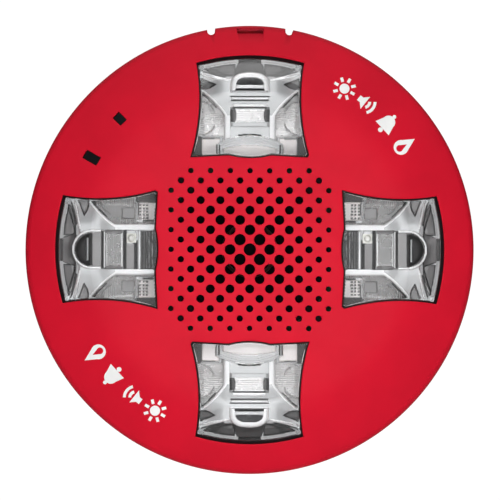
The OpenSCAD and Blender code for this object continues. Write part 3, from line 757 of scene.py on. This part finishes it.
def stitch(bm, first, second):
    """Joins two closed rings with different numbers of points by triangles."""
    a, b = len(first), len(second)
    start = min(range(b), key=lambda k: (second[k].co - first[0].co).length)
    second = second[start:] + second[:start]
    i = j = 0
    while i < a or j < b:
        if j == b or (i < a and (i + 1) * b <= (j + 1) * a):
            bm.faces.new((first[i % a], first[(i + 1) % a], second[j % b]))
            i += 1
        else:
            bm.faces.new((first[i % a], second[(j + 1) % b], second[j % b]))
            j += 1


# ---------------------------------------------------------------- reflectors

TRAY_Z = -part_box("reflector_right")[1][1] / MM
LED_Z = -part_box("led_board_right")[0][1] / MM
# In a tray, u runs outwards from the disc's centre, v across it and a is v without its sign, in millimetres
RAIL_IN, RAIL_OUT = 7.6, 9.9
BAY_START = 36.5
WING_START = 51.6

# Numbers of the finishes in a tray's material slots. The darker ones paint shade into slits, grooves,
# pockets, corners and recesses, and the brightest one paints highlights on rims, rails and bars
SATIN, PANEL, PAINTED_SHADE, PAINTED_HIGHLIGHT, SHADOW_SLIT, SHADED_BOWL, DEEP_SHADE, BLUSH = range(8)


def rect(u, v, us, vs):
    """Signed distance to a rectangle with those ranges, negative inside."""
    du = np.abs(u - (us[0] + us[1]) / 2) - (us[1] - us[0]) / 2
    dv = np.abs(v - (vs[0] + vs[1]) / 2) - (vs[1] - vs[0]) / 2
    return np.hypot(np.maximum(du, 0), np.maximum(dv, 0)) + np.minimum(np.maximum(du, dv), 0)


def wedge(u, a, corners):
    """Largest distance past the sides of a convex outline, whose corners run anticlockwise."""
    sides = []
    for k, (u1, a1) in enumerate(corners):
        u0, a0 = corners[k - 1]
        length = math.hypot(u1 - u0, a1 - a0)
        sides.append(((u - u0) * (a1 - a0) - (a - a0) * (u1 - u0)) / length)
    return np.max(sides, axis=0)


def smooth(x, low, high):
    """Rises from 0 at low to 1 at high, level at both ends."""
    t = np.clip((x - low) / (high - low), 0, 1)
    return t * t * (3 - 2 * t)


class Relief:
    """Heights and finishes over a window, changed one feature at a time."""

    def __init__(self, u, v):
        self.u, self.v, self.a = u, v, np.abs(v)
        self.z = np.full_like(u, 30.0)
        self.finish = np.full(u.shape, PANEL)

    def paint(self, distance, finish):
        self.finish = np.where(distance <= 0, finish, self.finish)

    def lift(self, distance, top, edge, finish=None):
        """Raises what is inside an outline to that top, over a rounded rim."""
        over = np.clip(distance + edge, 0, edge)
        level = top - edge + np.sqrt(np.maximum(edge**2 - over**2, 0))
        self.z = np.where(distance <= 0, np.maximum(self.z, level), self.z)
        if finish is not None:
            self.paint(distance, finish)

    def sink(self, distance, floor, edge, finish=None):
        """Sinks what is inside an outline to that floor, with a rounded foot."""
        over = np.clip(distance + edge, 0, edge)
        level = floor + edge - np.sqrt(np.maximum(edge**2 - over**2, 0))
        self.z = np.where(distance <= 0, np.minimum(self.z, level), self.z)
        if finish is not None:
            self.paint(distance, finish)


def wing_half(u):
    """Half the width of the bridge: its rails, then wings that flare to the window's sides."""
    past = np.maximum(u - WING_START, 0)
    return RAIL_OUT + 0.62 * past + 0.036 * past**2


def side_panels(r):
    """The ribbed panels beside the rails, and the blocks in the window's inner corners. Painted shade
    darkens the wedge, slit, seam, fin and corner blocks, and a painted highlight lights the rib.
    """
    r.z = 30 + 2.0 * smooth(r.a, 17.0, 21.0) - 0.9 * smooth(r.u, 40, 56)
    rib = rect(r.u, r.a, (43.4, 43.9), (10.4, 18.6))
    r.lift(rib, 31.4, 0.3, PAINTED_HIGHLIGHT)
    ditch = rect(r.u, r.a, (40.9, 43.3), (10.4, 18.4))
    r.sink(ditch, 29.0, 0.2, SATIN)
    pad = rect(r.u, r.a, (35.0, 42.8), (11.4, 18.2))
    r.lift(pad, 31.4, 0.4, BLUSH)
    shade = wedge(r.u, r.a, [(43.0, 18.2), (43.0, 11.4), (42.2, 11.2), (40.9, 14.6), (41.0, 18.2)])
    r.sink(shade, 29.0, 0.4, PAINTED_SHADE)
    slit = rect(r.u, r.a, (42.6, 42.9), (13.5, 18.0))
    r.sink(slit, 28.0, 0.1, SHADOW_SLIT)
    seam = rect(r.u, r.a, (36.0, 40.8), (10.9, 11.2))
    r.sink(seam, 28.0, 0.1, PAINTED_SHADE)
    block = rect(r.u, r.a, (34.5, 43.3), (18.3, 24.0))
    r.z = np.where(block <= 0, 33.0, r.z)
    r.paint(block, DEEP_SHADE)
    fin = np.maximum(np.abs(r.a - 12.6 - 0.98 * (r.u - 54.5)) - 0.28, rect(r.u, r.a, (54.5, 60), (12, 18)))
    r.sink(fin, 29.0, 0.2, SHADOW_SLIT)
    fold = np.hypot(r.u - 50.5, r.a - 19.5) - 6.5
    r.lift(np.maximum(np.abs(fold) - 0.2, 13.5 - r.a), 31.2, 0.2, SATIN)


def bridge(r):
    """Rails and wings in one piece, with the pockets behind the wings. The rails, the wings' edges and a
    ridge carry a painted highlight, and the crease and pockets are painted shade.
    """
    outline = np.maximum(r.a - wing_half(r.u), r.u - 66.4 - 0.011 * r.a**2)
    top = 36.0 + 1.3 * smooth(r.u, 51, 60) - 1.4 * smooth(r.a, 8, 19) * smooth(r.u, 54, 62)
    top = top - 1.6 * smooth(r.u - 0.011 * r.a**2, 64.3, 66.3)
    over = np.clip(outline + 0.8, 0, 0.8)
    level = top - 0.8 + np.sqrt(np.maximum(0.64 - over**2, 0))
    inside_it = np.maximum(outline, BAY_START - r.u)
    r.z = np.where(inside_it <= 0, level, r.z)
    r.paint(inside_it, SATIN)
    rim = np.maximum(inside_it, wing_half(r.u) - 1.3 - r.a)
    r.paint(np.maximum(rim, 51.4 - r.u), PAINTED_HIGHLIGHT)
    rail = rect(r.u, r.a, (BAY_START, WING_START), (RAIL_IN, RAIL_OUT))
    r.paint(rail, PAINTED_HIGHLIGHT)
    ridge = np.abs(r.u - 64.4 - 0.0075 * r.a**2) - 0.28
    r.lift(np.maximum(ridge, np.maximum(8 - r.a, r.a - 18.3)), 37.0, 0.25, PAINTED_HIGHLIGHT)
    crease = np.abs(r.u - 65.4 - 0.0088 * r.a**2) - 0.16
    r.sink(np.maximum(crease, np.maximum(9.5 - r.a, r.a - 18.3)), 34.5, 0.1, PAINTED_SHADE)
    pocket = wedge(r.u, r.a, [(61.3, 18.6), (61.9, 15.4), (63.4, 12.9), (65.6, 18.6)])
    r.sink(pocket, 33.0, 0.6, PAINTED_SHADE)


def outer_troughs(r):
    """Lens-shaped troughs at each side of the hood, the pocket between them and the outer lip. Troughs and
    pocket are painted shade with a painted black shadow line round each, and the lip carries a painted
    highlight.
    """
    r_edge = np.hypot(r.u, r.v)
    start = r.u - 66.4 - 0.0135 * r.a**2
    r.z = np.where(start > 0, 34.8, r.z)
    r.paint(-start, SATIN)
    low = 66.5 + 0.00128 * np.maximum(r.a - 5, 0) ** 3 - r.u
    trough = np.maximum(np.maximum(low, r_edge - 71.3), np.maximum(5.5 - r.a, r.a - 17.6))
    r.sink(trough, 32.2 + 0.6 * np.maximum(r_edge - 68.6, 0), 0.9, PAINTED_SHADE)
    r.paint(np.maximum(trough, -trough - 0.2), SHADOW_SLIT)
    slope = 4.5 + 0.36 * (72 - r.u)
    pocket = np.maximum(r.a - slope, np.maximum(66.5 - r.u, r_edge - 72.2))
    r.sink(pocket, 30.6 + 0.46 * (r.u - 66.5), 0.3, PAINTED_SHADE)
    r.paint(np.maximum(pocket, -pocket - 0.2), SHADOW_SLIT)
    r.z = np.where(r_edge > 71.5, np.maximum(r.z, 35.4 + 2.4 * smooth(r_edge, 71.5, 72.4)), r.z)
    lip = np.maximum(71.4 - r_edge, 4.4 - r.a)
    r.paint(np.maximum(lip, r.a - 17.5), PAINTED_HIGHLIGHT)


def plate(r, low, high, half, top):
    """The waisted plate from low to high in the middle of the bay, which is sunk between the rails. Painted
    shadow darkens the bay beside the plate, and painted highlights light its two ends.
    """
    bay = rect(r.u, r.v, (BAY_START, high + 0.4), (-RAIL_IN, RAIL_IN))
    r.sink(bay, 33.4, 1.4, SATIN)
    shadow = rect(r.u, r.a, (low + 0.3, high - 0.3), (half - 0.4, RAIL_IN))
    r.paint(shadow, PAINTED_SHADE)
    middle, reach = (low + high) / 2, (high - low) / 2
    waist = half - 0.5 * np.cos(np.clip((r.u - middle) / reach, -1, 1) * np.pi / 2)
    slab = np.maximum(r.a - waist, np.abs(r.u - middle) - reach)
    r.lift(slab, top, 0.4, PANEL)
    r.paint(np.maximum(slab, high - 0.55 - r.u), PAINTED_HIGHLIGHT)
    r.paint(np.maximum(slab, r.u - low - 0.5), PAINTED_HIGHLIGHT)


def short_hood(r):
    """Top and bottom windows: an arch over a bowl, with bars and grooves below its mouth. The arch, lip and
    bars carry a painted highlight, the bowl a darker finish of painted shade, and the gap and grooves
    painted black shadow.
    """
    up = np.maximum(r.u - 62.4, 0)
    arch = (((up / 5.7) ** 2.5 + (r.a / 7.6) ** 2.5) ** 0.4 - 1) * 6.4
    arch = np.maximum(arch, 60.4 - r.u)
    r.lift(arch, 39.2, 1.2, PAINTED_HIGHLIGHT)
    chin = rect(r.u, r.v, (54.8, 61.0), (-7.0, 7.0))
    r.paint(chin, SATIN)
    mouth = (((up / 3.6) ** 2.5 + (r.a / 5.4) ** 2.5) ** 0.4 - 1) * 4.4
    mouth = np.maximum(mouth, 61.0 - r.u)
    bowl = 30.5 + 6.5 * smooth(np.hypot((r.u - 63.2) * 1.2, r.v * 0.8), 0.8, 4.6)
    r.z = np.where(mouth <= 0, np.minimum(r.z, bowl), r.z)
    r.paint(mouth, SHADED_BOWL)
    lip = rect(r.u, r.v, (61.9, 63.4), (-5.4, 5.4))
    r.lift(lip, 37.2, 0.7, PAINTED_HIGHLIGHT)
    gap = rect(r.u, r.v, (61.0, 61.7), (-5.5, 5.5))
    r.sink(gap, 29.5, 0.1, SHADOW_SLIT)
    for start, end, half in ((54.9, 55.9, 6.4), (57.6, 58.5, 7.0)):
        bar = rect(r.u, r.v, (start, end), (-half, half))
        r.lift(bar, 37.6, 0.4, PAINTED_HIGHLIGHT)
    for start, end, half in ((54.35, 54.75, 6.4), (57.05, 57.45, 7.2), (58.65, 59.0, 7.6)):
        groove = rect(r.u, r.v, (start, end), (-half, half))
        r.sink(groove, 33.0, 0.1, SHADOW_SLIT)


def long_hood(r):
    """Side windows: a thin rim that runs round a deep hole and down both sides of the bay. The bay and the
    hole are painted shade, the rim, sill and the bar in the hole carry a painted highlight, and the groove
    is painted black shadow.
    """
    reach = np.where(r.u > 60.4, np.hypot(r.u - 60.4, r.v), r.a)
    bay = np.maximum(reach - 7.3, 55.0 - r.u)
    r.z = np.where(bay <= 0, 35.0, r.z)
    r.paint(bay, PAINTED_SHADE)
    rim = np.maximum(np.abs(reach - 7.1) - 0.5, 56.9 - r.u)
    r.lift(rim, 38.8, 0.5, PAINTED_HIGHLIGHT)
    hole = np.maximum(rect(r.u, r.v, (60.7, 66.7), (-5.8, 5.8)) - 0.3, reach - 6.2)
    r.sink(hole, 30.0, 2.4, DEEP_SHADE)
    bar = rect(r.u, r.v, (61.9, 62.5), (-4.6, 4.2))
    r.lift(bar, 31.8, 0.3, PAINTED_HIGHLIGHT)
    groove = rect(r.u, r.v, (56.2, 56.9), (-7.0, 7.0))
    r.sink(groove, 30.0, 0.1, SHADOW_SLIT)
    sill = rect(r.u, r.v, (55.4, 56.1), (-7.0, 7.0))
    r.lift(sill, 37.0, 0.35, PAINTED_HIGHLIGHT)


def led_bay(r, side):
    """The open bay of the side windows, down to the LED board, with its slots and light bar. The slots,
    board, square and rungs are painted shade, the bay's end a near-black painted shade, and the leaf and
    the bar carry a painted highlight.
    """
    half = 7.4
    bay = rect(r.u, r.v, (BAY_START, 48.3), (-RAIL_IN, RAIL_IN))
    r.sink(bay, LED_Z + 0.05, 0.2, SATIN)
    outer_slot = rect(r.u, r.v, (47.2, 48.3), (-RAIL_IN, RAIL_IN))
    r.paint(outer_slot, SHADOW_SLIT)
    up = side * r.v
    leaf = wedge(r.u, up, [(46.9, 7.3), (44.0, 7.3), (43.3, 5.2), (45.2, 2.7), (46.9, 4.3)])
    r.lift(leaf, LED_Z + 0.4, 0.3, PAINTED_HIGHLIGHT)
    inner_slot = wedge(r.u, up, [(44.8, 3.0), (42.8, 4.0), (42.8, -half), (44.2, -half)])
    r.paint(inner_slot, SHADOW_SLIT)
    board = rect(r.u, up, (44.4, 47.2), (-half, 2.4))
    r.paint(board, PAINTED_SHADE)
    light_bar = rect(r.u, r.v, (41.8, 42.7), (-half, half))
    r.lift(light_bar, 32.0, 0.35, PAINTED_HIGHLIGHT)
    end = rect(r.u, r.v, (BAY_START, 41.7), (-half, half))
    r.paint(end, DEEP_SHADE)
    for k in range(4):
        fin = rect(r.u, r.v, (37.4 + k, 37.8 + k), (-7.0, 7.0))
        r.lift(fin, LED_Z + 0.8, 0.15, SATIN)
    square = rect(r.u, r.a, (44.2, 49.0), (12.0, 16.2))
    r.sink(square, 28.6, 0.3, PAINTED_SHADE)
    for k in range(5):
        rung = (11.9 + 1.25 * k, 12.6 + 1.25 * k)
        for column in ((38.9, 39.7), (40.2, 41.0), (41.6, 42.4)):
            r.sink(rect(r.u, r.a, column, rung), 29.6, 0.1, PAINTED_SHADE)


def foot(r):
    """The moulded foot over the LED of the top and bottom windows, under an arched edge. The arc's groove
    and two short grooves are painted shade, and the arched brow carries a painted highlight.
    """
    floor = rect(r.u, r.v, (BAY_START, 47.5), (-RAIL_IN, RAIL_IN))
    r.z = np.where(floor <= 0, 33.0 + 0.10 * (r.u - 42.0), r.z)
    r.paint(floor, SATIN)
    arc = np.hypot(r.u - 18.5, r.v) - 25.8
    r.sink(np.maximum(np.abs(arc) - 0.24, r.a - 4.3), 30.0, 0.1, SHADOW_SLIT)
    inner = np.maximum(arc + 0.2, r.a - 13)
    inner = np.maximum(inner, 35.4 - r.u)
    steps = 33.6 - 0.34 * np.floor(np.maximum(-arc, 0) / 0.8)
    r.z = np.where(inner <= 0, np.maximum(steps, 31.4), r.z)
    r.paint(inner, SATIN)
    brow = np.maximum(np.maximum(arc + 0.2, -arc - 0.8), r.a - 5.5)
    r.paint(brow, PAINTED_HIGHLIGHT)
    bulge = np.maximum(r.u - 40.2 + 0.012 * r.v**2, r.a - 10.2)
    r.lift(bulge, 33.0, 0.5, BLUSH)
    for groove in (11.6, 12.6):
        r.sink(rect(r.u, r.a, (36.6, 40.4), (groove, groove + 0.25)), 30.0, 0.1, PAINTED_SHADE)


def grid_lines(low, high, step, marks):
    """Evenly spaced lines, with a close pair at each mark where the surface steps."""
    lines = [*np.arange(low, high, step), high]
    kept = [x for x in lines if min(abs(x - m) for m in marks) > step * 0.45]
    pairs = [m + s * 0.02 for m in marks for s in (-1, 1)]
    return np.array(sorted(kept + [p for p in pairs if low < p < high]))


def reflector(i):
    """A metallised tray: one grid of points bent to the window's outline, with a floor under it."""
    inner_gap, gap, outer_gap = TRAY_GAPS
    # The grid's ends, and the lines past which it bends to meet the outline
    v_bend, v_end = 18.6, 20.0
    u_start, u_inner, u_outer, u_end = 36.0, 40.0, 66.0, 72.0
    v_marks = [s * m for m in (RAIL_IN, RAIL_OUT, 5.4, 6.4, 10.2, 18.45) for s in (-1, 1)]
    u_marks = [BAY_START, 40.4, 41.75, 42.75, 48.25, 48.9, 54.3, 54.8]
    u_marks += [55.9, 57.0, 57.55, 58.55, 61.0, 61.75, 63.45]
    step = 0.24
    t = grid_lines(-v_end, v_end, step, v_marks)
    s = grid_lines(u_start, u_end, step, u_marks)
    u, v = np.meshgrid(s, t, indexing="ij")
    half = np.vectorize(side_half)(u, gap)
    a = np.abs(v)
    bent = v_bend + (a - v_bend) * (half - v_bend) / (v_end - v_bend)
    v = np.where(a > v_bend, np.sign(v) * bent, v)
    start = np.vectorize(inner_x)(v, inner_gap)
    end = np.sqrt((WINDOW_OUTER_R - outer_gap) ** 2 - v**2)
    u = np.where(u < u_inner, start + (u - u_start) * (u_inner - start) / (u_inner - u_start), u)
    u = np.where(u > u_outer, u_outer + (u - u_outer) * (end - u_outer) / (u_end - u_outer), u)
    r = Relief(u, v)
    side_panels(r)
    bridge(r)
    outer_troughs(r)
    if i % 2:
        plate(r, 48.9, 54.3, 5.95, 36.4)
        short_hood(r)
        foot(r)
    else:
        plate(r, 48.6, 55.3, 6.5, 35.4)
        long_hood(r)
        led_bay(r, 1 - i)
    piece = relief_mesh("reflector_tray_" + SIDES[i], r, 90 * i)
    across = "Z" if i % 2 else "X"
    paint(piece, *TRAY_FINISHES[across])
    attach(piece, "head")
    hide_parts("reflector_" + SIDES[i])


def relief_mesh(name, r, degrees):
    """A closed solid: the relief on top, straight sides and a flat floor."""
    rows, cols = r.u.shape
    angle = math.radians(degrees)
    x = r.u * math.cos(angle) - r.v * math.sin(angle)
    y = r.u * math.sin(angle) + r.v * math.cos(angle)
    top = np.stack([x, -r.z, y], axis=-1).reshape(-1, 3) * MM
    index = np.arange(rows * cols).reshape(rows, cols)
    corners = [index[:-1, :-1], index[1:, :-1], index[1:, 1:], index[:-1, 1:]]
    quads = np.stack(corners, axis=-1).reshape(-1, 4)
    rim = np.concatenate([index[:, 0], index[-1, 1:], index[-2::-1, -1], index[0, -2:0:-1]])
    low = top[rim].copy()
    low[:, 1] = -TRAY_Z * MM
    base = rows * cols
    count = len(rim)
    k = np.arange(count)
    m = (k + 1) % count
    sides = np.stack([rim[m], rim, base + k, base + m], axis=-1)
    faces = [*quads.tolist(), *sides.tolist(), list(range(base + count - 1, base - 1, -1))]
    # The sides and the floor are painted shade
    finishes = [*r.finish[:-1, :-1].reshape(-1).tolist(), *([PAINTED_SHADE] * (count + 1))]
    mesh = bpy.data.meshes.new(name)
    mesh.from_pydata(np.concatenate([top, low]).tolist(), [], faces)
    mesh.polygons.foreach_set("material_index", finishes)
    mesh.shade_smooth()
    mesh.set_sharp_from_angle(angle=math.radians(42))
    obj = bpy.data.objects.new(name, mesh)
    bpy.context.scene.collection.objects.link(obj)
    return obj


def tray_finishes(across, panel, metallic, trough):
    """The finishes of a tray, in the order of their numbers, with ribs across x or z. The third, sixth and
    seventh are darker copies of the satin that paint shade, the fourth a lighter copy that paints
    highlights, and the fifth the black of painted shadow lines.
    """
    return (
        satin("satin_" + across, (0.86, 0.865, 0.87), 0.72, (0.16, 0.24)),
        ribbed("panel_" + across, panel, metallic, across),
        satin("painted_shade_" + across, trough, 0.92 if across == "Z" else 0.5, (0.16, 0.24)),
        satin("edge_" + across, (0.98, 0.98, 0.985), 0.25, (0.15, 0.25)),
        SHADOW_BLACK,
        satin("shaded_bowl_" + across, (0.42, 0.425, 0.43), 0.8, (0.15, 0.25)),
        satin("deep_shade_" + across, (0.05, 0.048, 0.048), 0.3, (0.3, 0.4)),
        satin("blush_" + across, (0.95, 0.89, 0.875), 0.1, (0.25, 0.35)),
    )


# The side windows' set and the top and bottom windows' set differ in panel and shade tones, painted to
# follow how light falls into each
TRAY_FINISHES = {
    "X": tray_finishes("X", (0.76, 0.75, 0.745), 0.8, (0.36, 0.35, 0.35)),
    "Z": tray_finishes("Z", (0.82, 0.805, 0.80), 0.5, (0.17, 0.165, 0.165)),
}


# ---------------------------------------------------------------- studio


def camera():
    """A long lens in front of the object, framing the disc as the photograph does."""
    distance, frame_width, sensor = 2.4, 0.1911, 36
    aim_x, aim_z = 0.00005, -0.00023
    off_axis_x, off_axis_z = -0.024, -0.034
    roll = math.radians(0.16)
    low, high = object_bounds()
    data = bpy.data.cameras.new("camera")
    obj = bpy.data.objects.new("camera", data)
    data.sensor_width = sensor
    data.lens = sensor * distance / frame_width
    data.clip_end = 50
    target = Vector(((low[0] + high[0]) / 2 + aim_x, low[1], (low[2] + high[2]) / 2 + aim_z))
    obj.location = target + Vector((off_axis_x, -distance, off_axis_z))
    turn = (target - obj.location).to_track_quat("-Z", "Y").to_matrix()
    obj.rotation_euler = (turn @ Matrix.Rotation(roll, 3, "Z")).to_euler()
    bpy.context.scene.collection.objects.link(obj)
    bpy.context.scene.camera = obj


def softbox(name, place, target, size, power, shape="DISK"):
    """A lamp that lights the object but never shows itself."""
    data = bpy.data.lights.new(name, "AREA")
    data.shape = shape
    data.size = size
    data.energy = power
    obj = bpy.data.objects.new(name, data)
    obj.location = place
    obj.rotation_euler = (Vector(target) - Vector(place)).to_track_quat("-Z", "Y").to_euler()
    obj.visible_camera = False
    obj.visible_glossy = False
    obj.visible_transmission = False
    bpy.context.scene.collection.objects.link(obj)


def card(name, place, target, size, radiance):
    """A pale card that only shows as a reflection in gloss, and adds no light of its own."""
    softbox(name, place, target, size, radiance * math.pi * size**2, "SQUARE")
    obj = bpy.data.objects[name]
    obj.visible_diffuse = False
    obj.visible_glossy = True
    obj.visible_transmission = True


def studio():
    """Pale world and floor, one soft key light, and three cards that show in the gloss."""
    front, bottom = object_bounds()[0][1:]
    backdrop_level, world_level = 1.05, 0.30
    floor_radius, floor_drop = 1.6, 0.12
    world = bpy.data.worlds.new("studio")
    bpy.context.scene.world = world
    world.use_nodes = True
    tree = world.node_tree
    tree.nodes.clear()
    out = tree.nodes.new("ShaderNodeOutputWorld")
    mix = tree.nodes.new("ShaderNodeMixShader")
    path = tree.nodes.new("ShaderNodeLightPath")
    seen = tree.nodes.new("ShaderNodeBackground")
    seen.inputs["Color"].default_value = (1, 1, 1, 1)
    seen.inputs["Strength"].default_value = backdrop_level
    light = tree.nodes.new("ShaderNodeBackground")
    light.inputs["Strength"].default_value = world_level
    place = tree.nodes.new("ShaderNodeTexCoord")
    split = tree.nodes.new("ShaderNodeSeparateXYZ")
    height = tree.nodes.new("ShaderNodeMapRange")
    height.inputs["From Min"].default_value = -1
    ramp = tree.nodes.new("ShaderNodeValToRGB")
    # From straight below to straight above: the world's brightness, with a dim band at eye level
    stops = ((0, 1.4), (0.325, 0.42), (0.675, 0.42), (0.9, 2.9))
    while len(ramp.color_ramp.elements) < len(stops):
        ramp.color_ramp.elements.new(0.5)
    for element, (place_at, level) in zip(ramp.color_ramp.elements, stops):
        element.position = place_at
        element.color = (level, level, level, 1)
    join = tree.links.new
    join(place.outputs["Generated"], split.inputs[0])
    join(split.outputs["Z"], height.inputs[0])
    join(height.outputs[0], ramp.inputs["Fac"])
    join(ramp.outputs["Color"], light.inputs["Color"])
    join(path.outputs["Is Camera Ray"], mix.inputs[0])
    join(light.outputs[0], mix.inputs[1])
    join(seen.outputs[0], mix.inputs[2])
    join(mix.outputs[0], out.inputs["Surface"])

    centre = (0, front, 0)
    key_distance = 0.215
    softbox("key", (0.008, front - key_distance, -0.012), centre, 0.12, 0.385)
    card("front_card", (0, -1.9, 0), centre, 1.0, 0.66)
    card("top_card", (0, -1.0, 1.1), centre, 0.9, 2.2)
    card("low_card", (0, -1.0, -1.1), centre, 0.9, 0.4)

    bm = bmesh.new()
    bmesh.ops.create_circle(bm, cap_ends=True, segments=96, radius=floor_radius)
    floor = finished(bm, "floor")
    floor.location = (0, 0, bottom - floor_drop)
    n = Nodes("pale_floor")
    n.set(Roughness=0.8, Specular_IOR_Level=0.2)
    n.vary_colour((0.86, 0.86, 0.86), 0.01, 3)
    paint(floor, n.material)
    floor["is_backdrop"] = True
    bpy.context.scene.view_settings.view_transform = "Standard"


camera()
paint_cad_nodes()
front_cover()
for window in range(4):
    lens(window)
    reflector(window)
studio()
